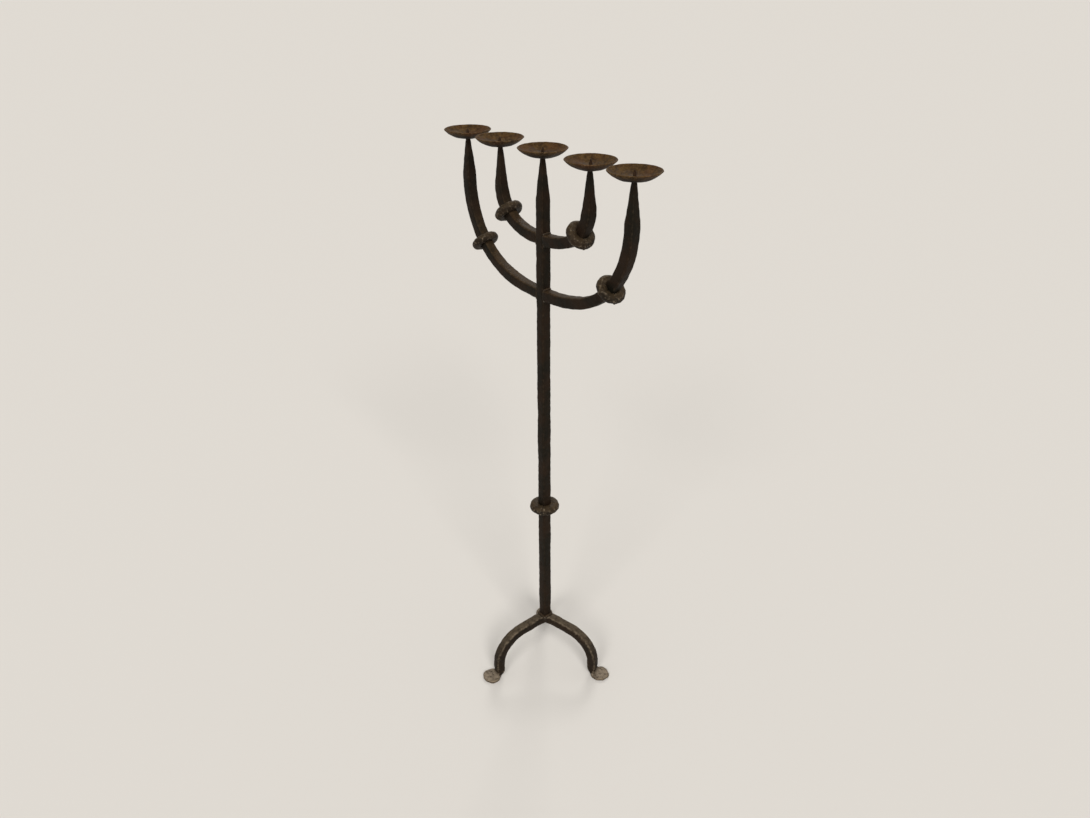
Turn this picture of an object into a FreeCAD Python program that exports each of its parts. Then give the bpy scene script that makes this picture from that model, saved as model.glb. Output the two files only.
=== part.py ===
"""Floor candelabrum for five candles, forged and welded from square iron bar.

A straight stem stands on three arched legs.  Four curved half-arms are welded to two faces of
the stem, each bar's end is drawn down to a neck, and each neck carries a dished drip pan with a
spike for the candle.  Round rings are wrapped round the stem and the arms.

The origin is on the floor under the stem's axis, +X runs along the arms and +Z is up.
All sizes are in millimetres and degrees.
"""

import FreeCAD
import Part
import math
import os

import Sketcher

SIZES = [
    ("bar_size", 20, "side of the square bar"),
    ("bar_corner", 3, "radius on the bar's hammered corners"),
    ("rim_height", 1128, "floor to the drip pans' rims"),
    ("hub_height", 120, "floor to the top of the legs, where the stem stands"),
    ("neck_size", 5.8, "side of a drawn-down neck at its pan"),
    ("neck_corner", 1.2, "radius on a neck's corners"),
    ("stem_taper", 72, "length of the stem's drawn-down end"),
    ("root_run", 8, "straight start of an arm at the stem"),
    ("outer_span", 215, "stem axis to an outer neck"),
    ("outer_drop", 257.5, "rims down to the outer arms' centreline at the stem"),
    ("outer_root_radius", 300, "radius of an outer arm next to the stem"),
    ("outer_root_angle", 15, "turn of an outer arm's first bend"),
    ("outer_taper", 66, "length of an outer arm's drawn-down end"),
    ("outer_collar_angle", 47.5, "slope of the outer arm where its ring sits"),
    ("inner_span", 118, "stem axis to an inner neck"),
    ("inner_drop", 155.5, "rims down to the inner arms' centreline at the stem"),
    ("inner_root_radius", 136, "radius of an inner arm next to the stem"),
    ("inner_root_angle", 24, "turn of an inner arm's first bend"),
    ("inner_taper", 73, "length of an inner arm's drawn-down end"),
    ("inner_collar_angle", 46, "slope of the inner arm where its ring sits"),
    ("pan_radius", 43, "radius of a drip pan's rim"),
    ("pan_depth", 16.5, "underside of a pan to its rim"),
    ("pan_sheet", 2.4, "thickness of the pan's sheet"),
    ("pan_flat", 7, "radius of the flat at the middle of a pan"),
    ("spike_radius", 3.1, "radius of a candle spike at its shoulder"),
    ("spike_tip_radius", 0.5, "radius of a candle spike's blunted point"),
    ("spike_height", 14.5, "pan floor to the point of the spike"),
    ("tang_radius", 1.3, "radius of the tang under a spike"),
    ("tang_length", 12, "length of the tang below the pan's floor"),
    ("tang_clearance", 0.1, "gap round a tang and under it"),
    ("arm_collar_wire", 6.1, "radius of the round bar in an arm's ring"),
    ("stem_collar_wire", 7.9, "radius of the round bar in the stem's ring"),
    ("collar_clearance", 0.3, "gap between a ring and the corners of its bar"),
    ("collar_seam_angle", 1.2, "gap in degrees where a ring's two ends meet"),
    ("stem_collar_height", 409, "floor to the middle of the stem's ring"),
    ("stem_seam_angle", -50, "direction the seam of the stem's ring faces"),
    ("arm_seam_angle", -15, "direction the seam of an arm's ring faces, from its outer side"),
    ("tack_radius", 4, "radius of the weld over a ring's seam"),
    ("tack_sink", 0.8, "depth of that weld's middle below the ring's surface"),
    ("leg_turn_angle", 21.5, "direction of the first leg from +X"),
    ("hub_run", 16, "level start of a leg under the stem"),
    ("leg_shoulder_radius", 40, "radius of a leg's shoulder"),
    ("leg_fall_angle", 12, "fall of a leg past its shoulder"),
    ("knee_radius", 72, "radius of a leg's knee"),
    ("leg_spread", 118, "stem axis to the centre of a front leg above its foot"),
    ("back_leg_spread", 112, "stem axis to the centre of the back leg above its foot"),
    ("foot_bend", 15, "radius of the bend from a leg into its foot"),
    ("foot_radius", 20, "radius of a foot's flattened disc"),
    ("foot_thickness", 6, "thickness of a foot's disc"),
    ("foot_offset", 4, "end of the foot's bend to the centre of its disc"),
    ("foot_neck_width", 24, "width of a leg where it runs into its disc"),
    ("foot_corner", 1.4, "radius on the edges of a foot"),
    ("weld_leg", 5, "height of the welds at the arms' roots"),
    ("hub_weld_leg", 4, "height of the weld round the stem's foot"),
    ("hub_weld_lip", 0.8, "width of that weld's upper edge beyond the bar"),
    ("seam_weld_side", 5, "side of the welds between two legs"),
]

doc = FreeCAD.newDocument("Candelabrum")
sheet = doc.addObject("Spreadsheet::Sheet", "Sizes")
for row, (alias, value, meaning) in enumerate(SIZES, 1):
    sheet.set(f"A{row}", meaning)
    sheet.set(f"B{row}", str(value))
    sheet.setAlias(f"B{row}", alias)
doc.recompute()

parts = []

HALF_BAR = "Sizes.bar_size / 2"
PAN_BASE = "(Sizes.rim_height - Sizes.pan_depth)"
BAR_REACH = "(Sizes.bar_size / sqrt(2) - Sizes.bar_corner * (sqrt(2) - 1))"
RIGHT_ANGLE = 90
HALF_TURN = 180
LEG_COUNT = 3
LEG_PITCH = 2 * HALF_TURN / LEG_COUNT
HALF_PITCH = f"({LEG_PITCH / 2} * 1deg)"


def number(expression):
    """Give the value of an expression in the sheet's sizes."""
    value = sheet.evalExpression(expression)
    return float(getattr(value, "Value", value))


def vector(x, y, z="0"):
    """Give the point whose coordinates are three expressions."""
    return FreeCAD.Vector(number(x), number(y), number(z))


def add_body(label):
    """Start a sub-part that is one body."""
    body = doc.addObject("PartDesign::Body", label)
    body.Label = label
    parts.append(body)
    return body


def place(sub_part, x="0", y="0", z="0", axis=(0, 0, 1), angle="0"):
    """Bind a sub-part's place to expressions, turned by an angle about an axis."""
    sub_part.Placement = FreeCAD.Placement(
        vector(x, y, z), FreeCAD.Rotation(FreeCAD.Vector(*axis), number(angle))
    )
    for name, expression in (("x", x), ("y", y), ("z", z)):
        sub_part.setExpression(f"Placement.Base.{name}", expression)
    sub_part.setExpression("Placement.Rotation.Angle", f"({angle}) * 1deg")


def add_sketch(body, name, plane, lift="0"):
    """Attach a sketch to one of a body's own planes, lifted off it along its normal."""
    sketch = body.newObject("Sketcher::SketchObject", name)
    origin_plane = next(
        feature for feature in body.Origin.OriginFeatures if feature.Role == f"{plane}_Plane"
    )
    sketch.AttachmentSupport = [(origin_plane, "")]
    sketch.MapMode = "FlatFace"
    sketch.setExpression("AttachmentOffset.Base.z", lift)
    return sketch


def bind(sketch, expression, kind, *places):
    """Add a constraint whose value is an expression."""
    index = sketch.addConstraint(Sketcher.Constraint(kind, *places, number(expression)))
    sketch.setExpression(f"Constraints[{index}]", expression)


def pin(sketch, index, point, x, y):
    """Bind a point of a sketch to two coordinates."""
    bind(sketch, x, "DistanceX", -1, 1, index, point)
    bind(sketch, y, "DistanceY", -1, 1, index, point)


def line(sketch, start, end):
    """Draw a line between two points and give its index."""
    return sketch.addGeometry(Part.LineSegment(start, end))


def arc(sketch, centre, radius, start_angle, end_angle):
    """Draw an arc anticlockwise between two angles in degrees and give its index."""
    circle = Part.Circle(centre, FreeCAD.Vector(0, 0, 1), radius)
    start, end = math.radians(start_angle), math.radians(end_angle)
    return sketch.addGeometry(Part.ArcOfCircle(circle, start, end))


def outline(sketch, corners):
    """Draw a closed outline of straight sides through corners given as expressions."""
    points = [vector(x, y) for x, y in corners]
    for point, following in zip(points, points[1:] + points[:1]):
        line(sketch, point, following)
    for index, (x, y) in enumerate(corners):
        previous = (index - 1) % len(corners)
        sketch.addConstraint(Sketcher.Constraint("Coincident", previous, 2, index, 1))
        pin(sketch, index, 1, x, y)


def rounded_rectangle(sketch, width, height, corner, across="0", up="0"):
    """Draw a rectangle with rounded corners round a centre, all given as expressions."""
    half_w = number(width) / 2
    half_h = number(height) / 2
    r = number(corner)
    middle = vector(across, up)
    for turn in range(4):
        flip = turn % 2
        spin = FreeCAD.Rotation(FreeCAD.Vector(0, 0, 1), 90 * turn)
        w, h = (half_h, half_w) if flip else (half_w, half_h)
        start = spin.multVec(FreeCAD.Vector(w, r - h, 0))
        end = spin.multVec(FreeCAD.Vector(w, h - r, 0))
        centre = spin.multVec(FreeCAD.Vector(w - r, h - r, 0))
        line(sketch, middle + start, middle + end)
        arc(sketch, middle + centre, r, 90 * turn, 90 * turn + 90)
    for side in range(4):
        straight = 2 * side
        corner_arc = straight + 1
        following = (straight + 2) % 8
        sketch.addConstraint(Sketcher.Constraint("Tangent", straight, 2, corner_arc, 1))
        sketch.addConstraint(Sketcher.Constraint("Tangent", corner_arc, 2, following, 1))
        run = "Horizontal" if side % 2 else "Vertical"
        sketch.addConstraint(Sketcher.Constraint(run, straight))
        if side:
            sketch.addConstraint(Sketcher.Constraint("Equal", 1, corner_arc))
    bind(sketch, corner, "Radius", 1)
    bind(sketch, f"{across} + ({width}) / 2", "DistanceX", -1, 1, 0, 1)
    bind(sketch, f"{across} - ({width}) / 2", "DistanceX", -1, 1, 4, 1)
    bind(sketch, f"{up} + ({height}) / 2", "DistanceY", -1, 1, 2, 1)
    bind(sketch, f"{up} - ({height}) / 2", "DistanceY", -1, 1, 6, 1)


def add_square(body, name, plane, size, corner, lift, across="0", up="0"):
    """Add a sketch of the bar's square section on a plane of a body."""
    sketch = add_sketch(body, name, plane, lift)
    rounded_rectangle(sketch, size, size, corner, across, up)
    return sketch


def draw_down(body, shoulder, path=None, across="0"):
    """Draw a bar's end down to its neck under the pan and bore it for the spike's tang."""
    neck = add_square(
        body, "Neck", "XY", "Sizes.neck_size", "Sizes.neck_corner", PAN_BASE, across
    )
    kind = "PartDesign::AdditivePipe" if path else "PartDesign::AdditiveLoft"
    drawn = body.newObject(kind, "DrawnEnd")
    drawn.Profile = shoulder
    drawn.Sections = [neck]
    if path:
        drawn.Spine = path
        drawn.Transformation = "Multisection"
    mouth = add_sketch(body, "TangHole", "XY", PAN_BASE)
    mouth.addGeometry(Part.Circle(vector(across, "0"), FreeCAD.Vector(0, 0, 1), 1))
    pin(mouth, 0, 3, across, "0")
    bind(mouth, "Sizes.tang_radius + Sizes.tang_clearance", "Radius", 0)
    hole = body.newObject("PartDesign::Pocket", "TangBore")
    hole.Profile = mouth
    hole.setExpression(
        "Length", "Sizes.tang_length - Sizes.pan_sheet + Sizes.tang_clearance"
    )


def make_stem():
    """Make the upright: a square bar from the legs' top to the middle pan."""
    body = add_body("stem")
    section = add_square(
        body, "Section", "XY", "Sizes.bar_size", "Sizes.bar_corner", "Sizes.hub_height"
    )
    bar = body.newObject("PartDesign::Pad", "Bar")
    bar.Profile = section
    bar.setExpression("Length", f"{PAN_BASE} - Sizes.stem_taper - Sizes.hub_height")
    shoulder = add_square(
        body, "Shoulder", "XY", "Sizes.bar_size", "Sizes.bar_corner",
        f"{PAN_BASE} - Sizes.stem_taper",
    )
    draw_down(body, shoulder)


def bend_radius(arm):
    """Give the radius that brings an arm upright at its span, as an expression."""
    turn = f"(Sizes.{arm}_root_angle * 1deg)"
    reach = (
        f"(Sizes.{arm}_span - {HALF_BAR} - Sizes.root_run"
        f" - Sizes.{arm}_root_radius * sin{turn})"
    )
    return f"({reach} / (1 - sin{turn}))"


def upright_height(arm):
    """Give the height at which an arm's bend ends upright, as an expression."""
    turn = f"(Sizes.{arm}_root_angle * 1deg)"
    return (
        f"((Sizes.rim_height - Sizes.{arm}_drop) + Sizes.{arm}_root_radius * (1 - cos{turn})"
        f" + {bend_radius(arm)} * cos{turn})"
    )


def make_arm(arm, side, turn):
    """Make one half-arm: straight at the stem, two bends to upright, then its drawn-down end.

    The drawing down starts a set length below the neck, on the upright run or still on the bend.
    """
    body = add_body(f"arm_{arm}_{side}")
    bottom = f"(Sizes.rim_height - Sizes.{arm}_drop)"
    span = f"Sizes.{arm}_span"
    bend = bend_radius(arm)
    upright = upright_height(arm)
    short = f"(Sizes.{arm}_taper - {PAN_BASE} + {upright})"
    slope = f"({RIGHT_ANGLE} - max(0; {short}) / {bend} * {HALF_TURN} / pi)"
    on_bend = number(short) > 0
    section = add_square(
        body, "Section", "YZ", "Sizes.bar_size", "Sizes.bar_corner", HALF_BAR, up=bottom
    )
    path = add_sketch(body, "Path", "XZ")
    root_radius = number(f"Sizes.{arm}_root_radius")
    root_turn = number(f"Sizes.{arm}_root_angle")
    root = vector(HALF_BAR, bottom)
    first = root + FreeCAD.Vector(number("Sizes.root_run"), 0, 0)
    first_centre = first + FreeCAD.Vector(0, root_radius, 0)
    centre = vector(f"{span} - {bend}", upright)
    line(path, root, first)
    arc(path, first_centre, root_radius, -RIGHT_ANGLE, root_turn - RIGHT_ANGLE)
    slope_from_below = number(slope) - RIGHT_ANGLE
    arc(path, centre, number(bend), root_turn - RIGHT_ANGLE, slope_from_below)
    for piece in range(2):
        path.addConstraint(Sketcher.Constraint("Tangent", piece, 2, piece + 1, 1))
    path.addConstraint(Sketcher.Constraint("Horizontal", 0))
    pin(path, 0, 1, HALF_BAR, bottom)
    bind(path, "Sizes.root_run", "DistanceX", 0, 1, 0, 2)
    bind(path, f"Sizes.{arm}_root_radius", "Radius", 1)
    bind(path, f"Sizes.{arm}_root_angle * 1deg", "Angle", 1)
    bind(path, bend, "Radius", 2)
    bind(path, f"({slope} - Sizes.{arm}_root_angle) * 1deg", "Angle", 2)

    end_path = add_sketch(body, "DrawnPath", "XZ")
    top = vector(span, PAN_BASE)
    if on_bend:
        arc(end_path, centre, number(bend), slope_from_below, 0)
        line(end_path, centre + FreeCAD.Vector(number(bend), 0, 0), top)
        end_path.addConstraint(Sketcher.Constraint("Tangent", 0, 2, 1, 1))
        bind(end_path, bend, "Radius", 0)
        bind(end_path, upright, "DistanceY", -1, 1, 0, 3)
        bind(end_path, f"({RIGHT_ANGLE} - {slope}) * 1deg", "Angle", 0)
    else:
        start = f"{PAN_BASE} - Sizes.{arm}_taper"
        line(path, centre + FreeCAD.Vector(number(bend), 0, 0), vector(span, start))
        path.addConstraint(Sketcher.Constraint("Coincident", 2, 2, 3, 1))
        pin(path, 3, 2, span, start)
        line(end_path, vector(span, start), top)
        bind(end_path, start, "DistanceY", -1, 1, 0, 1)
    last = 1 if on_bend else 0
    end_path.addConstraint(Sketcher.Constraint("Vertical", last))
    pin(end_path, last, 2, span, PAN_BASE)

    bar = body.newObject("PartDesign::AdditivePipe", "BentBar")
    bar.Profile = section
    bar.Spine = path
    shoulder = add_square(body, "Shoulder", "XY", "Sizes.bar_size", "Sizes.bar_corner", "0")
    lean = f"({RIGHT_ANGLE} - {slope})"
    shoulder.AttachmentOffset = FreeCAD.Placement(
        FreeCAD.Vector(), FreeCAD.Rotation(FreeCAD.Vector(0, 1, 0), number(lean))
    )
    on_arc = f"{upright} - {bend} * sin({lean} * 1deg)"
    on_run = f"{PAN_BASE} - Sizes.{arm}_taper"
    shoulder.setExpression("AttachmentOffset.Rotation.Angle", f"{lean} * 1deg")
    shoulder.setExpression(
        "AttachmentOffset.Base.x", f"{span} - {bend} * (1 - cos({lean} * 1deg))"
    )
    shoulder.setExpression("AttachmentOffset.Base.z", on_arc if on_bend else on_run)
    draw_down(body, shoulder, end_path, span)
    place(body, angle=turn)


def make_pan(name, across):
    """Make a drip pan: a shallow dish round a flat middle, pierced for the spike's tang."""
    body = add_body(f"pan_{name}")
    sketch = add_sketch(body, "Section", "XZ")
    hole = "Sizes.tang_radius + Sizes.tang_clearance"
    flat = "Sizes.pan_flat"
    sheet_top = "Sizes.pan_sheet"
    lip = "Sizes.pan_radius - Sizes.pan_sheet"
    inner_rise = "Sizes.pan_depth - Sizes.pan_sheet"
    line(sketch, vector(hole, "0"), vector(flat, "0"))
    add_dish(sketch, flat, "0", "Sizes.pan_radius", "Sizes.pan_depth")
    line(sketch, vector("Sizes.pan_radius", "Sizes.pan_depth"), vector(lip, "Sizes.pan_depth"))
    add_dish(sketch, flat, sheet_top, lip, inner_rise)
    line(sketch, vector(flat, sheet_top), vector(hole, sheet_top))
    line(sketch, vector(hole, sheet_top), vector(hole, "0"))
    joints = [
        ("Tangent", 0, 2, 1, 1),
        ("Coincident", 1, 2, 2, 1),
        ("Coincident", 2, 2, 3, 2),
        ("Tangent", 3, 1, 4, 1),
        ("Coincident", 4, 2, 5, 1),
        ("Coincident", 5, 2, 0, 1),
    ]
    for joint in joints:
        sketch.addConstraint(Sketcher.Constraint(*joint))
    pin(sketch, 0, 1, hole, "0")
    pin(sketch, 0, 2, flat, "0")
    pin(sketch, 2, 1, "Sizes.pan_radius", "Sizes.pan_depth")
    pin(sketch, 2, 2, lip, "Sizes.pan_depth")
    pin(sketch, 4, 1, flat, sheet_top)
    pin(sketch, 4, 2, hole, sheet_top)
    revolve(body, sketch)
    place(body, x=across, z=PAN_BASE)


def add_dish(sketch, flat, floor, rim, rise):
    """Draw the arc that leaves a pan's flat level and climbs to its rim."""
    run = number(f"{rim} - {flat}")
    climb = number(rise)
    radius = (run * run + climb * climb) / (2 * climb)
    centre = vector(flat, floor) + FreeCAD.Vector(0, radius, 0)
    arc(sketch, centre, radius, -90, math.degrees(math.asin(run / radius)) - 90)


def revolve(body, sketch, angle="360"):
    """Turn a sketch about its own upright axis."""
    turned = body.newObject("PartDesign::Revolution", "Turned")
    turned.Profile = sketch
    turned.ReferenceAxis = (sketch, ["V_Axis"])
    turned.Angle = number(angle)
    turned.setExpression("Angle", f"({angle}) * 1deg")


def make_spike(name, across):
    """Make a candle spike: a cone on a shoulder, with a tang through the pan into the neck."""
    body = add_body(f"spike_{name}")
    sketch = add_sketch(body, "Section", "XZ")
    tang_end = "-Sizes.tang_length"
    outline(
        sketch,
        [
            ("0", tang_end),
            ("Sizes.tang_radius", tang_end),
            ("Sizes.tang_radius", "0"),
            ("Sizes.spike_radius", "0"),
            ("Sizes.spike_tip_radius", "Sizes.spike_height"),
            ("0", "Sizes.spike_height"),
        ],
    )
    revolve(body, sketch)
    place(body, x=across, z=f"{PAN_BASE} + Sizes.pan_sheet")


def make_collar(name, wire, seam, where):
    """Make a ring of round bar wrapped round a square one, and the weld over its seam."""
    ring_radius = f"({BAR_REACH} + Sizes.collar_clearance + {wire})"
    body = add_body(f"collar_{name}")
    sketch = add_sketch(body, "Section", "XZ")
    sketch.AttachmentOffset = FreeCAD.Placement(
        FreeCAD.Vector(), FreeCAD.Rotation(FreeCAD.Vector(0, 1, 0), number(seam))
    )
    sketch.setExpression("AttachmentOffset.Rotation.Angle", f"({seam}) * 1deg")
    sketch.addGeometry(Part.Circle(vector(ring_radius, "0"), FreeCAD.Vector(0, 0, 1), 1))
    pin(sketch, 0, 3, ring_radius, "0")
    bind(sketch, wire, "Radius", 0)
    revolve(body, sketch, "360 - Sizes.collar_seam_angle")
    place(body, *where)

    crown = f"({ring_radius} + {wire} - Sizes.tack_sink)"
    ball = doc.addObject("Part::Sphere", f"tack_ball_{name}")
    ball.setExpression("Radius", "Sizes.tack_radius")
    ball.setExpression("Placement.Base.x", f"{crown} * cos(({seam}) * 1deg)")
    ball.setExpression("Placement.Base.y", f"{crown} * sin(({seam}) * 1deg)")
    ball.setExpression("Placement.Rotation.Angle", f"({seam}) * 1deg")
    ring = doc.addObject("Part::Torus", f"tack_ring_{name}")
    ring.setExpression("Radius1", ring_radius)
    ring.setExpression("Radius2", wire)
    weld = doc.addObject("Part::Cut", f"collar_weld_{name}")
    weld.Base = ball
    weld.Tool = ring
    weld.Label = f"collar_weld_{name}"
    parts.append(weld)
    place(weld, *where)


def make_arm_weld(arm, side, turn):
    """Make the welds above and below an arm's root, between the corners of its bar."""
    body = add_body(f"arm_weld_{arm}_{side}")
    body.AllowCompound = True
    sketch = add_sketch(body, "Section", "XZ")
    for index, up in ((0, "1"), (3, "-1")):
        face = f"(Sizes.rim_height - Sizes.{arm}_drop) + {up} * {HALF_BAR}"
        corners = [
            (HALF_BAR, face),
            (f"{HALF_BAR} + Sizes.weld_leg", face),
            (HALF_BAR, f"{face} + {up} * Sizes.weld_leg"),
        ]
        points = [vector(x, y) for x, y in corners]
        for corner in range(3):
            line(sketch, points[corner], points[(corner + 1) % 3])
        for corner, (x, y) in enumerate(corners):
            previous = index + (corner - 1) % 3
            sketch.addConstraint(
                Sketcher.Constraint("Coincident", previous, 2, index + corner, 1)
            )
            pin(sketch, index + corner, 1, x, y)
    bead = body.newObject("PartDesign::Pad", "Bead")
    bead.Profile = sketch
    bead.SideType = "Symmetric"
    bead.setExpression("Length", "Sizes.bar_size - 2 * Sizes.bar_corner")
    place(body, angle=turn)


def make_leg(name, turn, spread):
    """Make a leg: mitred under the stem, arched down, and its end beaten into a flat foot."""
    body = add_body(f"leg_{name}")
    centreline = f"Sizes.hub_height - {HALF_BAR}"
    ankle = "Sizes.foot_bend + Sizes.foot_thickness / 2"
    section = add_square(
        body, "Section", "YZ", "Sizes.bar_size", "Sizes.bar_corner", "0", up=centreline
    )
    path = add_sketch(body, "Path", "XZ")
    shoulder = number("Sizes.leg_shoulder_radius")
    knee = number("Sizes.knee_radius")
    slope = number("Sizes.leg_fall_angle")
    fall = math.radians(slope)
    root = vector("0", centreline)
    level_end = vector("Sizes.hub_run", centreline)
    shoulder_centre = level_end - FreeCAD.Vector(0, shoulder, 0)
    shoulder_end = shoulder_centre + shoulder * FreeCAD.Vector(math.sin(fall), math.cos(fall), 0)
    knee_x = number(spread) - knee
    start_x = knee_x + knee * math.sin(fall)
    start_y = shoulder_end.y - (start_x - shoulder_end.x) * math.tan(fall)
    knee_start = FreeCAD.Vector(start_x, start_y, 0)
    knee_centre = knee_start - knee * FreeCAD.Vector(math.sin(fall), math.cos(fall), 0)
    line(path, root, level_end)
    arc(path, shoulder_centre, shoulder, 90 - slope, 90)
    line(path, shoulder_end, knee_start)
    arc(path, knee_centre, knee, 0, 90 - slope)
    line(path, knee_centre + FreeCAD.Vector(knee, 0, 0), vector(spread, ankle))
    joints = [(0, 2, 1, 2), (1, 1, 2, 1), (2, 2, 3, 2), (3, 1, 4, 1)]
    for joint in joints:
        path.addConstraint(Sketcher.Constraint("Tangent", *joint))
    path.addConstraint(Sketcher.Constraint("Horizontal", 0))
    path.addConstraint(Sketcher.Constraint("Vertical", 4))
    pin(path, 0, 1, "0", centreline)
    bind(path, "Sizes.hub_run", "DistanceX", -1, 1, 0, 2)
    bind(path, "Sizes.leg_shoulder_radius", "Radius", 1)
    bind(path, "Sizes.leg_fall_angle * 1deg", "Angle", 1)
    bind(path, "Sizes.knee_radius", "Radius", 3)
    pin(path, 4, 2, spread, ankle)
    bar = body.newObject("PartDesign::AdditivePipe", "BentLeg")
    bar.Profile = section
    bar.Spine = path
    add_foot(body, ankle, spread)
    mitre(body)
    place(body, angle=turn)


def add_foot(body, ankle, spread):
    """Beat the end of a leg out flat through a quarter bend into a round disc."""
    upper = add_square(
        body, "Ankle", "XY", "Sizes.bar_size", "Sizes.bar_corner", ankle, spread
    )
    heel_end = f"{spread} + Sizes.foot_bend"
    lower = add_sketch(body, "FootNeck", "YZ", heel_end)
    rounded_rectangle(
        lower, "Sizes.foot_neck_width", "Sizes.foot_thickness", "Sizes.foot_corner",
        up="Sizes.foot_thickness / 2",
    )
    bend = add_sketch(body, "FootBend", "XZ")
    arc(bend, vector(heel_end, ankle), number("Sizes.foot_bend"), 180, 270)
    pin(bend, 0, 3, heel_end, ankle)
    pin(bend, 0, 1, spread, ankle)
    bind(bend, f"{RIGHT_ANGLE} * 1deg", "Angle", 0)
    heel = body.newObject("PartDesign::AdditivePipe", "Heel")
    heel.Profile = upper
    heel.Spine = bend
    heel.Transformation = "Multisection"
    heel.Sections = [lower]

    rim = add_sketch(body, "DiscSection", "XZ")
    rim.setExpression("AttachmentOffset.Base.x", f"{heel_end} + Sizes.foot_offset")
    edge = "Sizes.foot_radius"
    eased = "Sizes.foot_radius - Sizes.foot_corner"
    top = "Sizes.foot_thickness"
    outline(
        rim,
        [
            ("0", "0"),
            (eased, "0"),
            (edge, "Sizes.foot_corner"),
            (edge, f"{top} - Sizes.foot_corner"),
            (eased, top),
            ("0", top),
        ],
    )
    revolve(body, rim)

    floor = add_sketch(body, "Floor", "XY")
    inner = f"{spread} - Sizes.bar_size"
    outer = f"{heel_end} + Sizes.foot_offset + Sizes.bar_size + Sizes.foot_radius"
    outline(
        floor,
        [
            (inner, "-Sizes.foot_radius"),
            (outer, "-Sizes.foot_radius"),
            (outer, "Sizes.foot_radius"),
            (inner, "Sizes.foot_radius"),
        ],
    )
    sole = body.newObject("PartDesign::Pocket", "FlatSole")
    sole.Profile = floor
    sole.Type = "ThroughAll"


def mitre(body):
    """Cut a leg's inner end to the wedge that meets the other two on the stem's axis."""
    cut = add_sketch(body, "Mitre", "XY")
    reach = "Sizes.bar_size"
    across = f"Sizes.bar_size / tan{HALF_PITCH}"
    outline(
        cut,
        [
            ("0", "0"),
            (across, reach),
            (f"-{reach}", reach),
            (f"-{reach}", f"-{reach}"),
            (across, f"-{reach}"),
        ],
    )
    wedge = body.newObject("PartDesign::Pocket", "MitreCut")
    wedge.Profile = cut
    wedge.Type = "ThroughAll"
    wedge.Reversed = True


def make_hub_weld():
    """Make the weld round the foot of the stem, on top of the legs."""
    body = add_body("hub_weld")
    lower_size = "Sizes.bar_size + 2 * Sizes.hub_weld_leg"
    lower_corner = "Sizes.bar_corner + Sizes.hub_weld_leg"
    lip = "Sizes.hub_weld_lip"
    base = add_square(body, "Toe", "XY", lower_size, lower_corner, "Sizes.hub_height")
    crown = add_square(
        body, "Crown", "XY", f"Sizes.bar_size + 2 * {lip}", f"Sizes.bar_corner + {lip}",
        "Sizes.hub_height + Sizes.hub_weld_leg",
    )
    bead = body.newObject("PartDesign::AdditiveLoft", "Bead")
    bead.Profile = base
    bead.Sections = [crown]
    foot = add_square(
        body, "StemFoot", "XY", "Sizes.bar_size", "Sizes.bar_corner", "Sizes.hub_height"
    )
    hole = body.newObject("PartDesign::Pocket", "StemHole")
    hole.Profile = foot
    hole.Type = "ThroughAll"
    hole.Reversed = True


def make_leg_seam_welds():
    """Make the three welds in the corners between neighbouring legs, as one group."""
    body = add_body("leg_seam_welds")
    body.AllowCompound = True
    sketch = add_sketch(body, "Section", "XY", "Sizes.hub_height - Sizes.bar_size + Sizes.bar_corner")
    crotch = f"{HALF_BAR} / sin{HALF_PITCH}"
    along = f"{crotch} + Sizes.seam_weld_side * cos{HALF_PITCH}"
    aside = f"Sizes.seam_weld_side * sin{HALF_PITCH}"
    outline(sketch, [(crotch, "0"), (along, f"-{aside}"), (along, aside)])
    bead = body.newObject("PartDesign::Pad", "Bead")
    bead.Profile = sketch
    bead.setExpression("Length", "Sizes.bar_size - 2 * Sizes.bar_corner")
    round_the_hub = body.newObject("PartDesign::PolarPattern", "RoundTheHub")
    round_the_hub.Originals = [bead]
    round_the_hub.Axis = (sketch, ["N_Axis"])
    round_the_hub.Angle = LEG_COUNT * LEG_PITCH
    round_the_hub.Occurrences = LEG_COUNT
    body.Tip = round_the_hub
    place(body, angle=f"Sizes.leg_turn_angle + {LEG_PITCH / 2}")


def make_model():
    """Make every sub-part in its place."""
    make_stem()
    lights = [("centre", "0")]
    for side, sign, turn in (("right", "", "0"), ("left", "-", str(HALF_TURN))):
        for arm in ("outer", "inner"):
            make_arm(arm, side, turn)
            make_arm_weld(arm, side, turn)
            lights.append((f"{arm}_{side}", f"{sign}Sizes.{arm}_span"))
            slope = f"Sizes.{arm}_collar_angle"
            bend = bend_radius(arm)
            across = f"{sign}(Sizes.{arm}_span - {bend} * (1 - sin({slope} * 1deg)))"
            height = f"{upright_height(arm)} - {bend} * cos({slope} * 1deg)"
            lean = f"{sign}({RIGHT_ANGLE} - {slope})"
            seam = "Sizes.arm_seam_angle" if side == "right" else f"{HALF_TURN} - Sizes.arm_seam_angle"
            make_collar(
                f"{arm}_{side}", "Sizes.arm_collar_wire", seam,
                (across, "0", height, (0, 1, 0), lean),
            )
    make_collar(
        "stem", "Sizes.stem_collar_wire", "Sizes.stem_seam_angle",
        ("0", "0", "Sizes.stem_collar_height"),
    )
    for name, across in lights:
        make_pan(name, across)
        make_spike(name, across)
    for index, name in enumerate(("right", "back", "front")):
        spread = "Sizes.back_leg_spread" if name == "back" else "Sizes.leg_spread"
        make_leg(name, f"Sizes.leg_turn_angle + {LEG_PITCH * index}", spread)
    make_hub_weld()
    make_leg_seam_welds()


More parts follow.
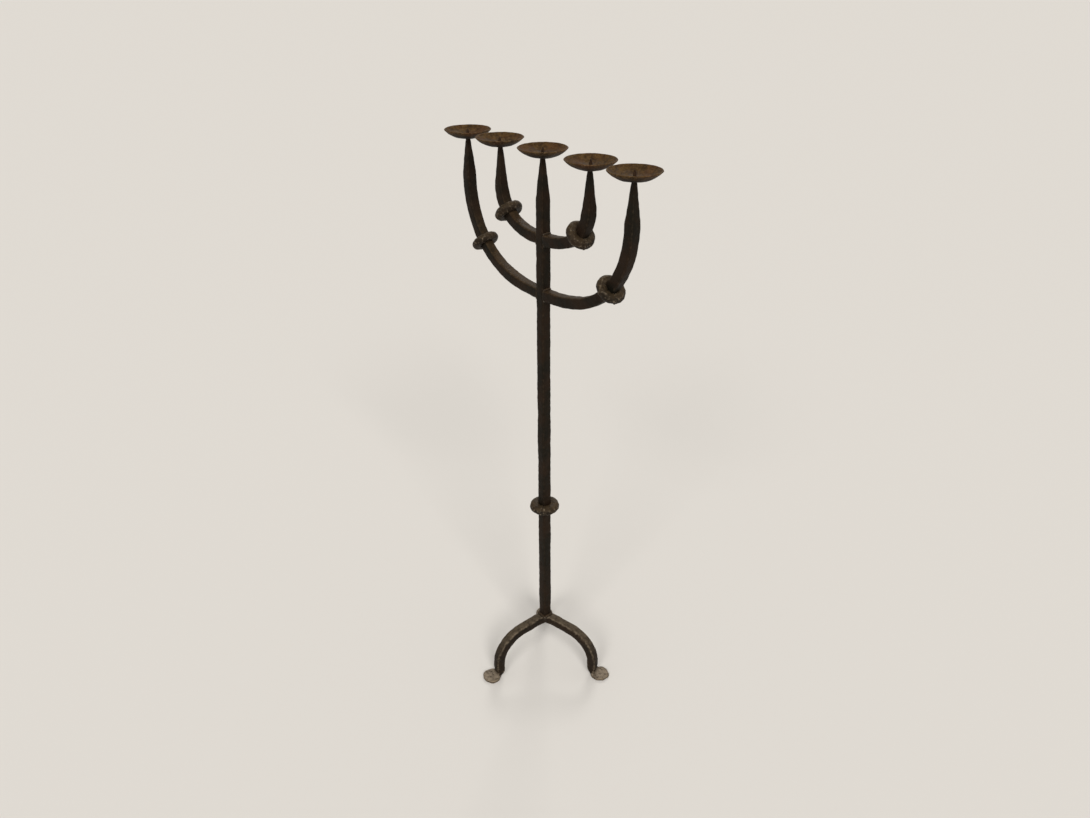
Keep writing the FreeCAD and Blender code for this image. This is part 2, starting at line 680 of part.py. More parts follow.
def export_model():
    """Check every object of the document, then write one file for each sub-part."""
    doc.recompute()
    for item in doc.Objects:
        if {"Invalid", "Error"} & set(item.State):
            raise RuntimeError(f"{item.Name} didn't compute: {item.State}")
    for sub_part in parts:
        if sub_part.Shape.isNull() or not sub_part.Shape.isValid():
            raise RuntimeError(f"{sub_part.Label} has no sound shape")
    os.makedirs("parts", exist_ok=True)
    for sub_part in parts:
        sub_part.Shape.exportStep(f"parts/{sub_part.Label}.step")


make_model()
export_model()
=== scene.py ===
import math

import bmesh
import bpy
from mathutils import Matrix, Vector


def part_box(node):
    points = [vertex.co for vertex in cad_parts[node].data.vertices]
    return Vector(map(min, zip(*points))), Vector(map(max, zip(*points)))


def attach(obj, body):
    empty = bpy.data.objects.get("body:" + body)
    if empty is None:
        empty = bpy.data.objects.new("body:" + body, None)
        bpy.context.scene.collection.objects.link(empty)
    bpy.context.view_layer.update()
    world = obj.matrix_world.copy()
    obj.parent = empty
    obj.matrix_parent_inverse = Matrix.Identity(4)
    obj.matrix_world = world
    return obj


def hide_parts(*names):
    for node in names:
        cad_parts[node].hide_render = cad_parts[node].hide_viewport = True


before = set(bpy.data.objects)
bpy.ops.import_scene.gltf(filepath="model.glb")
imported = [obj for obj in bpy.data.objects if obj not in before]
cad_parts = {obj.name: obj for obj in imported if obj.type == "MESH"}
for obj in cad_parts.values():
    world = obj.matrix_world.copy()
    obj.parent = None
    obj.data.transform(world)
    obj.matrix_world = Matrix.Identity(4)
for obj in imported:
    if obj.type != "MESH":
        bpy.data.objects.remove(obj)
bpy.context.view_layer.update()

MM = 0.001

# Sizes are in metres and angles in degrees
SIDES = {"right": 1, "left": -1}

# The square bar of the stem, the arms and the legs
CORNER = 3.2 * MM
RING_STEP = 6 * MM
LARGEST_TURN = 8  # between two rings of a bend
NECK = 6.2 * MM
STEM_TAPER = 72 * MM
STEM_SINK = 2 * MM  # into the hub
ROOT_RUN = 8 * MM
ROOT_SINK = 3 * MM  # into the stem
ARMS = {
    "outer": {"root_radius": 300 * MM, "root_turn": 15, "taper": 66 * MM, "collar": 47.5},
    "inner": {"root_radius": 136 * MM, "root_turn": 24, "taper": 73 * MM, "collar": 46},
}

# The legs and their round feet
LEGS = {"leg_right": 21.5, "leg_back": 141.5, "leg_front": 261.5}
HALF_LEG_PITCH = 60
LEG_RING_STEP = 4 * MM
LEG_VOXEL = 1.3 * MM
HUB_RUN = 16 * MM
SHOULDER = 40 * MM
FALL = 12
KNEE = 72 * MM
FOOT_BEND = 15 * MM
FOOT_NECK = 24 * MM
FOOT_RUN = 8 * MM
FOOT_THICKNESS = 6 * MM
FOOT_RADIUS = 19.6 * MM
FOOT_OFFSET = 4 * MM
FOOT_EDGE = 1.6 * MM
FOOT_RIM = 6 * MM
ARCH_START = 12 * MM  # from the stem's axis
ARCH_BLEND = 30 * MM
ANKLE_START = 8 * MM  # above the floor
ANKLE_BLEND = 20 * MM
SOLE = 0.7 * MM  # what is lower is pressed flat on the floor

# The pans and their spikes: a pan is drawn a little wide and shallow, and the blows bring it
# to its size
SHEET = 2.2 * MM
PANS = ("outer_left", "inner_left", "centre", "inner_right", "outer_right")
PAN_FLAT = 7 * MM
PAN_RINGS = 20
PAN_SPREAD = 0.2 * MM
PAN_HEADROOM = 1.3 * MM
PAN_TURN = 37  # from one pan's pattern to the next one's
SPIKE_ROOT = 3.6 * MM
SPIKE_SHOULDER = 3.0 * MM
SPIKE_SINK = 1 * MM  # into the pan's sheet
SPIKE_SHOULDER_SHARE = 0.3
# Each step up from the shoulder, as a share of the spike's height, and the radius there
SPIKE_STEPS = ((0.25, 2.6 * MM), (0.25, 1.9 * MM), (0.14, 1.2 * MM), (0.06, 0.4 * MM))

# The rings: how deep each one's crease is and how much fatter than its plain wire it is beaten
COLLARS = {
    "stem": {"groove": 0.5 * MM, "fatter": 1.05},
    "outer": {"groove": 1.1 * MM, "fatter": 1.18},
    "inner": {"groove": 0.6 * MM, "fatter": 1.3},
}
COLLAR_PROUD = 0.9 * MM
COLLAR_FIT = 0.3 * MM  # between the plain ring's hole and the bar's corners
BARE_CORNER = 3 * MM  # of the bar before it is hammered
# Angles round the ring's section from its outer side, and how full it is kept there
FULL_SPOKES = ((126, 0.88), (144, 0.8), (162, 0.7))
CREST = 0.97  # the share of a ring's height above which it is creased
ARM_SEAM = -15
STEM_SEAM = -50
SEAM_REACH = 3  # to either side of the seam
SEAM_NIP = 0.86  # the section's size in the seam

# The welds
SEAM_WELD = (6.6 * MM, 5.4 * MM)  # its width and depth
SEAM_WELD_SINK = 0.6 * MM
SEAM_WELD_START = -35
SEAM_WELD_SWEEP = 120
RIPPLE = 2.4 * MM  # from one ripple of a bead to the next
ROOT_BEAD = 5.6 * MM
ROOT_BEAD_INSET = 4.6 * MM
ROOT_BEAD_OVERRUN = 3 * MM
HUB_BEAD = 7 * MM
HUB_BEAD_OVERRUN = 5 * MM
HUB_BEAD_PROUD = 0.5 * MM
LEG_BEAD = 4.8 * MM
BEAD_PROUD = 0.6 * MM

# The studio
FLOOR_RADIUS = 40
CAMERA_PLACE = (1.1184, -0.9229, 1.421)
VIEW_AZIMUTH = -39.6
VIEW_FALL = 28.48
VIEW_ROLL = -0.28
LENS = 28.225
LAMP_RISE = 38
LAMP_WIDTH = 18
# Each lamp's side, its angle round from the camera and its strength
LAMPS = (("right", 18, 1.4), ("left", -24, 0.9), ("back", 170, 0.6))
SOFTBOX_STRENGTH = 0.48
LAMP_WHITE = (1, 0.985, 0.96)
SOFTBOX_WHITE = (1, 0.985, 0.965, 1)
PALE = (0.71, 0.682, 0.642, 1)
BACKDROP = (0.742, 0.702, 0.645, 1)


def clear_bench():
    """Leave edit mode and let go of everything."""
    if bpy.context.mode != "OBJECT":
        bpy.ops.object.mode_set(mode="OBJECT")
    bpy.ops.object.select_all(action="DESELECT")


def hold(piece):
    """Take hold of one piece alone."""
    clear_bench()
    piece.select_set(True)
    bpy.context.view_layer.objects.active = piece


def label(piece, name):
    """Name a piece and its mesh."""
    piece.name = name
    piece.data.name = name


def start(name, primitive, **sizes):
    """Add a primitive at its size and place and open it for editing."""
    clear_bench()
    primitive(**sizes)
    piece = bpy.context.active_object
    label(piece, name)
    bpy.ops.object.transform_apply(location=True, rotation=True, scale=True)
    bpy.ops.object.mode_set(mode="EDIT")
    return piece


def pick(piece, test, kind="VERT"):
    """Select the corners, edges or faces that pass a test of their place or normal."""
    bpy.ops.mesh.select_mode(type=kind)
    bpy.ops.mesh.select_all(action="DESELECT")
    mesh = bmesh.from_edit_mesh(piece.data)
    for part in {"VERT": mesh.verts, "EDGE": mesh.edges, "FACE": mesh.faces}[kind]:
        if test(part):
            part.select_set(True)
    mesh.select_flush_mode()
    bmesh.update_edit_mesh(piece.data)


def put(piece, matrix):
    """Move a finished piece to its place and leave its object at the origin."""
    hold(piece)
    piece.matrix_world = matrix @ piece.matrix_world
    bpy.ops.object.transform_apply(location=True, rotation=True, scale=True)
    return piece


def copy_of(piece, name, matrix):
    """Copy a piece with its own mesh and put the copy in its place."""
    hold(piece)
    bpy.ops.object.duplicate()
    twin = bpy.context.active_object
    label(twin, name)
    return put(twin, matrix)


def finish_with(piece, name, kind, **settings):
    """Add a modifier to a piece and apply it."""
    hold(piece)
    modifier = piece.modifiers.new(name, kind)
    for setting, value in settings.items():
        setattr(modifier, setting, value)
    bpy.ops.object.modifier_apply(modifier=modifier.name)


def texture(name, kind, **settings):
    """Make a pattern that pushes a surface in or out."""
    pattern = bpy.data.textures.new(name, kind)
    for setting, value in settings.items():
        setattr(pattern, setting, value)
    return pattern


def hammer(piece, pattern, depth, level, direction="NORMAL", where=""):
    """Work a pattern of blows into a surface, or into one group of its points.

    Depth is the reach from the pattern's darkest to its lightest spot, and a spot as light
    as level stays where it is.
    """
    finish_with(
        piece,
        "blows",
        "DISPLACE",
        texture=pattern,
        texture_coords="LOCAL",
        strength=depth,
        mid_level=level,
        direction=direction,
        vertex_group=where,
    )


def round_off(piece, levels):
    """Refine a piece with a subdivision surface."""
    finish_with(piece, "refined", "SUBSURF", levels=levels, render_levels=levels)


def close_up(piece):
    """Merge doubled corners and turn every face outwards."""
    hold(piece)
    bpy.ops.object.mode_set(mode="EDIT")
    bpy.ops.mesh.select_all(action="SELECT")
    bpy.ops.mesh.remove_doubles(threshold=0.01 * MM)
    bpy.ops.mesh.normals_make_consistent(inside=False)
    bpy.ops.object.mode_set(mode="OBJECT")


def join(name, pieces):
    """Join pieces into one."""
    clear_bench()
    for piece in pieces:
        piece.select_set(True)
    bpy.context.view_layer.objects.active = pieces[0]
    bpy.ops.object.join()
    label(pieces[0], name)
    return pieces[0]


def draw_bar(name, tip, heading, runs, section, corner=CORNER, step=RING_STEP):
    """Draw a bar out of its squared end along runs of length and turn.

    The path lies in the XZ plane, heading is its angle above level, and section gives
    the bar's width and depth at a length from its start.
    """
    width, depth = section(0)
    piece = start(
        name,
        bpy.ops.mesh.primitive_plane_add,
        size=1,
        location=tip,
        rotation=(0, math.radians(90 - heading), 0),
    )
    along = Vector(tip)
    bpy.ops.transform.resize(value=(depth, width, depth), center_override=along)
    bpy.ops.mesh.subdivide(number_cuts=1)
    pick(piece, lambda point: len(point.link_edges) == 2)
    bpy.ops.mesh.bevel(affect="VERTICES", offset=corner, segments=2)
    bpy.ops.mesh.select_mode(type="FACE")
    bpy.ops.mesh.select_all(action="SELECT")
    done = 0
    for length, turn in runs:
        count = max(1, math.ceil(length / step), math.ceil(abs(turn) / LARGEST_TURN))
        swing = math.radians(turn / count)
        chord = length / count
        if turn:
            chord *= 2 * math.sin(abs(swing) / 2) / abs(swing)
        for _ in range(count):
            angle = math.radians(heading) + swing / 2
            move = Vector((math.cos(angle), 0, math.sin(angle))) * chord
            along += move
            bpy.ops.mesh.extrude_region_move(TRANSFORM_OT_translate={"value": move})
            if turn:
                bpy.ops.transform.rotate(value=swing, orient_axis="Y", center_override=along)
                heading += math.degrees(swing)
            done += length / count
            now_width, now_depth = section(done)
            if (now_width, now_depth) != (width, depth):
                bpy.ops.transform.resize(
                    value=(1, now_width / width, now_depth / depth),
                    orient_type="GLOBAL",
                    orient_matrix=Matrix.Rotation(-math.radians(heading), 3, "Y"),
                    orient_matrix_type="GLOBAL",
                    center_override=along,
                )
                width, depth = now_width, now_depth
    close_up(piece)
    return piece


def tapered(total, taper):
    """Give the bar's section, which draws down evenly to the neck over its last length."""

    def section(done):
        left = total - done
        if left >= taper:
            return BAR, BAR
        side = NECK + (BAR - NECK) * max(left, 0) / taper
        return side, side

    return section


dents = texture("hammer_blows", "VORONOI", noise_scale=13 * MM)
small_dents = texture("small_blows", "VORONOI", noise_scale=7 * MM)
wander = texture("wander_of_the_bar", "CLOUDS", noise_scale=55 * MM, noise_depth=1)
lumps = texture("weld_lumps", "CLOUDS", noise_scale=3 * MM, noise_depth=2)
waves = texture("waves_in_the_sheet", "CLOUDS", noise_scale=38 * MM, noise_depth=1)


def hammer_bar(piece):
    """Work a finished bar over with the hammer."""
    round_off(piece, levels=2)
    hammer(piece, wander, depth=1.4 * MM, level=0.5)
    hammer(piece, dents, depth=0.8 * MM, level=0.45)
    hammer(piece, small_dents, depth=0.45 * MM, level=0.45)


stem_low, stem_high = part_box("stem")
BAR = stem_high.x - stem_low.x
HALF_BAR = BAR / 2
HUB = stem_low.z
PAN_BASE = stem_high.z
made = {}

# The upright
height = PAN_BASE - HUB + SHEET / 2 + STEM_SINK
made["stem"] = draw_bar(
    "forged_stem",
    (0, 0, HUB - STEM_SINK),
    90,
    [(height, 0)],
    tapered(height, STEM_TAPER + SHEET / 2),
)

# The four arms
for arm, form in ARMS.items():
    low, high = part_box(f"arm_{arm}_right")
    centreline = low.z + HALF_BAR
    span = high.x - HALF_BAR
    turn = math.radians(form["root_turn"])
    reach = span - HALF_BAR - ROOT_RUN - form["root_radius"] * math.sin(turn)
    bend = reach / (1 - math.sin(turn))
    rise = form["root_radius"] * (1 - math.cos(turn)) + bend * math.cos(turn)
    upright = PAN_BASE - centreline - rise + SHEET / 2
    runs = [
        (ROOT_RUN + ROOT_SINK, 0),
        (form["root_radius"] * turn, form["root_turn"]),
        (bend * (math.pi / 2 - turn), 90 - form["root_turn"]),
        (upright, 0),
    ]
    total = sum(length for length, _ in runs)
    right = draw_bar(
        f"forged_arm_{arm}_right",
        (HALF_BAR - ROOT_SINK, 0, centreline),
        0,
        runs,
        tapered(total, form["taper"] + SHEET / 2),
    )
    made[f"arm_{arm}_right"] = right
    made[f"arm_{arm}_left"] = copy_of(
        right, f"forged_arm_{arm}_left", Matrix.Rotation(math.pi, 4, "Z")
    )

for name in ("stem", "arm_outer_right", "arm_outer_left", "arm_inner_right", "arm_inner_left"):
    hammer_bar(made[name])

# The three legs, each beaten out into a flat round foot
level_z = HUB - HALF_BAR
ankle_z = FOOT_BEND + FOOT_THICKNESS / 2


def foot_radius_of(node):
    """Give the distance from the stem's axis to a foot's middle."""
    low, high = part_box(node)
    azimuth = math.radians(LEGS[node])
    if abs(math.cos(azimuth)) > abs(math.sin(azimuth)):
        reach = high.x if math.cos(azimuth) > 0 else -low.x
        return (reach - FOOT_RADIUS) / abs(math.cos(azimuth))
    reach = high.y if math.sin(azimuth) > 0 else -low.y
    return (reach - FOOT_RADIUS) / abs(math.sin(azimuth))


def draw_leg(node, foot_centre):
    """Arch a bar down from the hub and turn its heel out into a flat neck for the foot."""
    spread = foot_centre - FOOT_BEND - FOOT_OFFSET
    fall = math.radians(FALL)
    shoulder_end = Vector(
        (HUB_RUN + SHOULDER * math.sin(fall), 0, level_z - SHOULDER * (1 - math.cos(fall)))
    )
    slope = (spread - KNEE + KNEE * math.sin(fall) - shoulder_end.x) / math.cos(fall)
    knee_z = shoulder_end.z - slope * math.sin(fall) - KNEE * math.cos(fall)
    heel = FOOT_BEND * math.pi / 2
    runs = [
        (HUB_RUN, 0),
        (SHOULDER * fall, -FALL),
        (slope, 0),
        (KNEE * (math.pi / 2 - fall), FALL - 90),
        (knee_z - ankle_z, 0),
        (heel, 90),
        (FOOT_RUN, 0),
    ]
    heel_start = sum(length for length, _ in runs[:5])

    def section(done):
        share = max(0, min(1, (done - heel_start) / heel))
        return BAR + (FOOT_NECK - BAR) * share, BAR + (FOOT_THICKNESS - BAR) * share

    leg = draw_bar(f"forged_{node}", (0, 0, level_z), 0, runs, section, step=LEG_RING_STEP)
    round_off(leg, levels=1)
    return leg


def make_penny(foot_centre):
    """Make the round end of a foot, with its edges eased."""
    penny = start(
        "penny",
        bpy.ops.mesh.primitive_cylinder_add,
        vertices=48,
        radius=FOOT_RADIUS,
        depth=FOOT_THICKNESS,
        location=(foot_centre, 0, FOOT_THICKNESS / 2),
    )
    pick(penny, lambda face: abs(face.normal.z) > 0.9, "FACE")
    bpy.ops.mesh.inset(thickness=FOOT_EDGE)
    bpy.ops.mesh.inset(thickness=FOOT_RIM)
    middle = Vector((foot_centre, 0))

    def on_rim(edge):
        first, second = (corner.co for corner in edge.verts)
        nearest = min((corner.xy - middle).length for corner in (first, second))
        return nearest > FOOT_RADIUS - 0.1 * MM and abs(first.z - second.z) < MM

    pick(penny, on_rim, "EDGE")
    bpy.ops.mesh.bevel(offset=FOOT_EDGE, segments=3)
    return penny


def make_leg(node):
    """Forge a leg and its foot in one, rounded along the arch and beaten flat at the foot."""
    foot_centre = foot_radius_of(node)
    leg = draw_leg(node, foot_centre)
    leg = join(f"forged_{node}", [leg, make_penny(foot_centre)])
    finish_with(leg, "one_piece", "REMESH", mode="VOXEL", voxel_size=LEG_VOXEL)
    arched = leg.vertex_groups.new(name="arched")
    beaten = leg.vertex_groups.new(name="beaten")
    for point in leg.data.vertices:
        out = min(1, max(0, (point.co.x - ARCH_START) / ARCH_BLEND))
        above = min(1, max(0, (point.co.z - ANKLE_START) / ANKLE_BLEND))
        arched.add([point.index], out * above, "REPLACE")
        beaten.add([point.index], 1 - above, "REPLACE")
    finish_with(leg, "rounded", "SMOOTH", factor=0.5, iterations=26, vertex_group="arched")
    finish_with(leg, "eased", "SMOOTH", factor=0.5, iterations=4)
    finish_with(leg, "full", "DISPLACE", strength=0.4 * MM, mid_level=0, vertex_group="arched")
    put(leg, Matrix.Rotation(math.radians(LEGS[node]), 4, "Z"))
    hammer(leg, wander, depth=1.2 * MM, level=0.5)
    hammer(leg, dents, depth=0.9 * MM, level=0.45)
    hammer(leg, dents, depth=1.6 * MM, level=0.6, where="beaten")
    hammer(leg, small_dents, depth=0.5 * MM, level=0.5)
    hold(leg)
    bpy.ops.object.mode_set(mode="EDIT")
    pick(leg, lambda point: point.co.z < SOLE)
    bpy.ops.transform.resize(value=(1, 1, 0), center_override=(0, 0, 0))
    clear_bench()
    return leg


for node in LEGS:
    made[node] = make_leg(node)

# The pans: beaten dishes, and a pricket in each
pan_low, pan_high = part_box("pan_centre")
pan_radius = (pan_high.x - pan_low.x) / 2 + PAN_SPREAD
pan_depth = pan_high.z - pan_low.z - PAN_HEADROOM
run = pan_radius - PAN_FLAT
dish_radius = (run * run + pan_depth * pan_depth) / (2 * pan_depth)
dish_angle = math.asin(run / dish_radius)


def make_dish():
    """Raise a dish from a small disc by drawing its edge out and up, ring by ring."""
    dish = start(
        "dish",
        bpy.ops.mesh.primitive_circle_add,
        vertices=96,
        radius=PAN_FLAT / 3,
        fill_type="NGON",
    )
    bpy.ops.mesh.poke()
    pick(dish, lambda edge: edge.is_boundary, "EDGE")
    radius, lift = PAN_FLAT / 3, 0
    profile = [(PAN_FLAT * 2 / 3, 0), (PAN_FLAT, 0)]
    for ring in range(1, PAN_RINGS + 1):
        angle = dish_angle * ring / PAN_RINGS
        profile.append(
            (PAN_FLAT + dish_radius * math.sin(angle), dish_radius * (1 - math.cos(angle)))
        )
    for next_radius, next_lift in profile:
        bpy.ops.mesh.extrude_region_move(
            TRANSFORM_OT_translate={"value": (0, 0, next_lift - lift)}
        )
        scale = next_radius / radius
        bpy.ops.transform.resize(value=(scale, scale, 1), center_override=(0, 0, next_lift))
        radius, lift = next_radius, next_lift
    bpy.ops.mesh.select_all(action="SELECT")
    bpy.ops.mesh.normals_make_consistent(inside=False)
    sheet = bmesh.from_edit_mesh(dish.data)
    if sum(face.normal.z for face in sheet.faces) > 0:
        bpy.ops.mesh.flip_normals()
    clear_bench()
    return dish


def make_pricket():
    """Forge a candle spike one metre tall: stout at its shoulder and pointed late."""
    spike = start(
        "spike",
        bpy.ops.mesh.primitive_cone_add,
        vertices=12,
        radius1=SPIKE_ROOT,
        radius2=SPIKE_SHOULDER,
        depth=SPIKE_SHOULDER_SHARE,
        location=(0, 0, SPIKE_SHOULDER_SHARE / 2),
    )
    pick(spike, lambda face: face.normal.z > 0.9, "FACE")
    radius = SPIKE_SHOULDER
    for rise, next_radius in SPIKE_STEPS:
        bpy.ops.mesh.extrude_region_move(TRANSFORM_OT_translate={"value": (0, 0, rise)})
        scale = next_radius / radius
        bpy.ops.transform.resize(value=(scale, scale, 1))
        radius = next_radius
    clear_bench()
    return spike


dish = make_dish()
spike = make_pricket()
for place in PANS:
    low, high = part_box(f"pan_{place}")
    middle = Vector(((low.x + high.x) / 2, (low.y + high.y) / 2, low.z))
    turn = Matrix.Rotation(math.radians(PAN_TURN * PANS.index(place)), 4, "Z")
    pan = copy_of(dish, f"beaten_pan_{place}", Matrix.Translation(middle) @ turn)
    hammer(pan, waves, depth=0.5 * MM, level=0.5, direction="Z")
    hammer(pan, dents, depth=1.0 * MM, level=0.4)
    finish_with(pan, "sheet", "SOLIDIFY", thickness=SHEET, offset=-1, use_rim=True)
    finish_with(
        pan, "rim", "BEVEL", width=0.7 * MM, segments=2, limit_method="ANGLE", angle_limit=1.0
    )
    round_off(pan, levels=1)
    hammer(pan, small_dents, depth=0.3 * MM, level=0.45)
    reach = pan.data.attributes.new("from_middle", "FLOAT", "POINT")
    for point, value in zip(pan.data.vertices, reach.data):
        value.value = (point.co.xy - middle.xy).length / pan_radius
    made[f"pan_{place}"] = pan
    spike_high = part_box(f"spike_{place}")[1]
    foot = low.z + SHEET - SPIKE_SINK
    stretch = Matrix.Diagonal((1, 1, spike_high.z - foot, 1))
    stand = Matrix.Translation((middle.x, 0, foot)) @ stretch
    pricket = copy_of(spike, f"pricket_{place}", stand)
    round_off(pricket, levels=1)
    hammer(pricket, lumps, depth=0.4 * MM, level=0.6)
    made[f"spike_{place}"] = pricket
for pattern in (dish, spike):
    bpy.data.objects.remove(pattern)


# The collars, and the weld over each seam
def make_collar(name, outer, wire, seam, groove, matrix):
    """Wrap a ring tight round the bar, crease its upper face, part its seam and hammer it.

    The ring's section stays full towards the bar, so that it sits on it with no gap.
    """
    thick = (outer - HALF_BAR) / 2
    middle = outer - thick
    ring = start(
        name,
        bpy.ops.mesh.primitive_torus_add,
        major_radius=middle,
        minor_radius=thick,
        major_segments=72,
        minor_segments=20,
    )
    bpy.ops.transform.resize(value=(1, 1, wire / thick), center_override=(0, 0, 0))
    for spoke, full in FULL_SPOKES:
        slope = math.radians(spoke)
        reach = middle + thick * math.cos(slope)
        pick(ring, lambda point: abs(point.co.xy.length - reach) < 0.1 * MM)
        fuller = full / math.sin(slope)
        bpy.ops.transform.resize(value=(1, 1, fuller), center_override=(0, 0, 0))
    pick(ring, lambda point: point.co.z > CREST * wire)
    bpy.ops.transform.translate(value=(0, 0, -groove))

    def at_seam(point):
        angle = math.degrees(math.atan2(point.co.y, point.co.x)) - seam
        return abs((angle + 180) % 360 - 180) < SEAM_REACH

    pick(ring, at_seam)
    heart = Matrix.Rotation(math.radians(seam), 3, "Z") @ Vector((middle, 0, 0))
    bpy.ops.transform.resize(value=(SEAM_NIP,) * 3, center_override=heart)
    clear_bench()
    round_off(ring, levels=1)
    put(ring, matrix)
    hammer(ring, dents, depth=1.1 * MM, level=0.45)
    hammer(ring, small_dents, depth=1.0 * MM, level=0.5)
    hammer(ring, lumps, depth=0.45 * MM, level=0.5)
    return ring


def make_seam_weld(name, outer, wire, seam, matrix):
    """Run a lumpy weld over a ring's seam, from its crown up onto its upper face."""
    thick = (outer - HALF_BAR) / 2
    arc = (thick + wire) / 2 - SEAM_WELD_SINK
    first, sweep = math.radians(SEAM_WELD_START), math.radians(SEAM_WELD_SWEEP)
    tip = (outer - thick + arc * math.cos(first), 0, arc * math.sin(first))
    length = arc * sweep

    def section(done):
        share = min(max(done / length, 0.03), 0.97)
        ripple = 0.82 + 0.18 * math.cos(4 * math.pi * share)
        return tuple(size * math.sin(math.pi * share) ** 0.35 * ripple for size in SEAM_WELD)

    laid = draw_bar(
        name,
        tip,
        SEAM_WELD_START + 90,
        [(length, SEAM_WELD_SWEEP)],
        section,
        corner=0.8 * MM,
        step=0.7 * MM,
    )
    round_off(laid, levels=1)
    put(laid, matrix @ Matrix.Rotation(math.radians(seam), 4, "Z"))
    hammer(laid, lumps, depth=1.2 * MM, level=0.5)
    return laid


hole = (HALF_BAR - BARE_CORNER) * math.sqrt(2) + BARE_CORNER + COLLAR_FIT
for name in ("stem", "outer_left", "inner_left", "inner_right", "outer_right"):
    bar, _, side = name.partition("_")
    form = COLLARS[bar]
    low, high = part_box(f"collar_{name}")
    outer = (high.y - low.y) / 2 + COLLAR_PROUD
    wire = (outer - hole) / 2 * form["fatter"]
    seam = STEM_SEAM
    matrix = Matrix.Translation((low + high) / 2)
    if side:
        tilt = math.radians(90 - ARMS[bar]["collar"]) * SIDES[side]
        matrix = matrix @ Matrix.Rotation(tilt, 4, "Y")
        seam = ARM_SEAM if side == "right" else 180 - ARM_SEAM
    made[f"collar_{name}"] = make_collar(
        f"wrapped_collar_{name}", outer, wire, seam, form["groove"], matrix
    )
    made[f"collar_weld_{name}"] = make_seam_weld(f"seam_weld_{name}", outer, wire, seam, matrix)


# The welds
def bead(name, length, size, matrix):
    """Lay a rippled weld bead along X."""
    count = max(4, round(length / RIPPLE))

    def section(done):
        share = done / length
        full = math.sin(math.pi * min(max(share, 0.06), 0.94)) ** 0.4
        ripple = 1 + 0.08 * math.cos(2 * math.pi * share * count)
        return size * full * ripple, size * full * ripple

    laid = draw_bar(
        name, (-length / 2, 0, 0), 0, [(length, 0)], section, corner=size * 0.14, step=0.6 * MM
    )
    round_off(laid, levels=1)
    return put(laid, matrix)


def fuse(name, beads, voxel, melt=3):
    """Run neighbouring beads into one lumpy weld."""
    weld = join(name, beads)
    finish_with(weld, "fused", "REMESH", mode="VOXEL", voxel_size=voxel)
    finish_with(weld, "melted", "SMOOTH", factor=0.5, iterations=melt)
    hammer(weld, lumps, depth=1.4 * MM, level=0.5)
    return weld


for arm in ARMS:
    for side, way in SIDES.items():
        low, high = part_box(f"arm_weld_{arm}_{side}")
        x = way * (HALF_BAR + BEAD_PROUD)
        across = Matrix.Rotation(math.pi / 2, 4, "Z")
        beads = [
            bead(
                f"root_bead_{index}",
                high.y - low.y + ROOT_BEAD_OVERRUN,
                ROOT_BEAD,
                Matrix.Translation((x, 0, z)) @ across,
            )
            for index, z in enumerate((low.z + ROOT_BEAD_INSET, high.z - ROOT_BEAD_INSET))
        ]
        made[f"arm_weld_{arm}_{side}"] = fuse(f"root_weld_{arm}_{side}", beads, voxel=0.6 * MM)

hub_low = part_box("hub_weld")[0]
beads = []
for quarter in range(4):
    place = Matrix.Rotation(math.pi / 2 * quarter, 4, "Z") @ Matrix.Translation(
        (0, HALF_BAR + HUB_BEAD_PROUD, hub_low.z + BEAD_PROUD)
    )
    beads.append(bead(f"hub_bead_{quarter}", BAR + HUB_BEAD_OVERRUN, HUB_BEAD, place))
made["hub_weld"] = fuse("hub_bead", beads, voxel=0.8 * MM, melt=16)

seam_low, seam_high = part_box("leg_seam_welds")
crotch = HALF_BAR / math.sin(math.radians(HALF_LEG_PITCH))
beads = []
for azimuth in LEGS.values():
    place = (
        Matrix.Rotation(math.radians(azimuth + HALF_LEG_PITCH), 4, "Z")
        @ Matrix.Translation((crotch, 0, (seam_low.z + seam_high.z) / 2))
        @ Matrix.Rotation(math.pi / 2, 4, "Y")
    )
    beads.append(bead(f"leg_bead_{azimuth:.0f}", seam_high.z - seam_low.z, LEG_BEAD, place))
made["leg_seam_welds"] = fuse("leg_seam_beads", beads, voxel=0.6 * MM)


class Value:
    """A shader socket that takes part in sums like a number."""

    def __init__(self, nodes, socket):
        self.nodes = nodes
        self.socket = socket

    def maths(self, operation, first, second):
        """Add one Math node."""
        return self.nodes.add("ShaderNodeMath", {"operation": operation}, {0: first, 1: second})

    def __add__(self, other):
        return self.maths("ADD", self, other)

    def __radd__(self, other):
        return self.maths("ADD", other, self)

    def __sub__(self, other):
        return self.maths("SUBTRACT", self, other)

    def __rsub__(self, other):
        return self.maths("SUBTRACT", other, self)

    def __mul__(self, other):
        return self.maths("MULTIPLY", self, other)

    def __rmul__(self, other):
        return self.maths("MULTIPLY", other, self)

    def __or__(self, other):
        return self.maths("MAXIMUM", self, other)


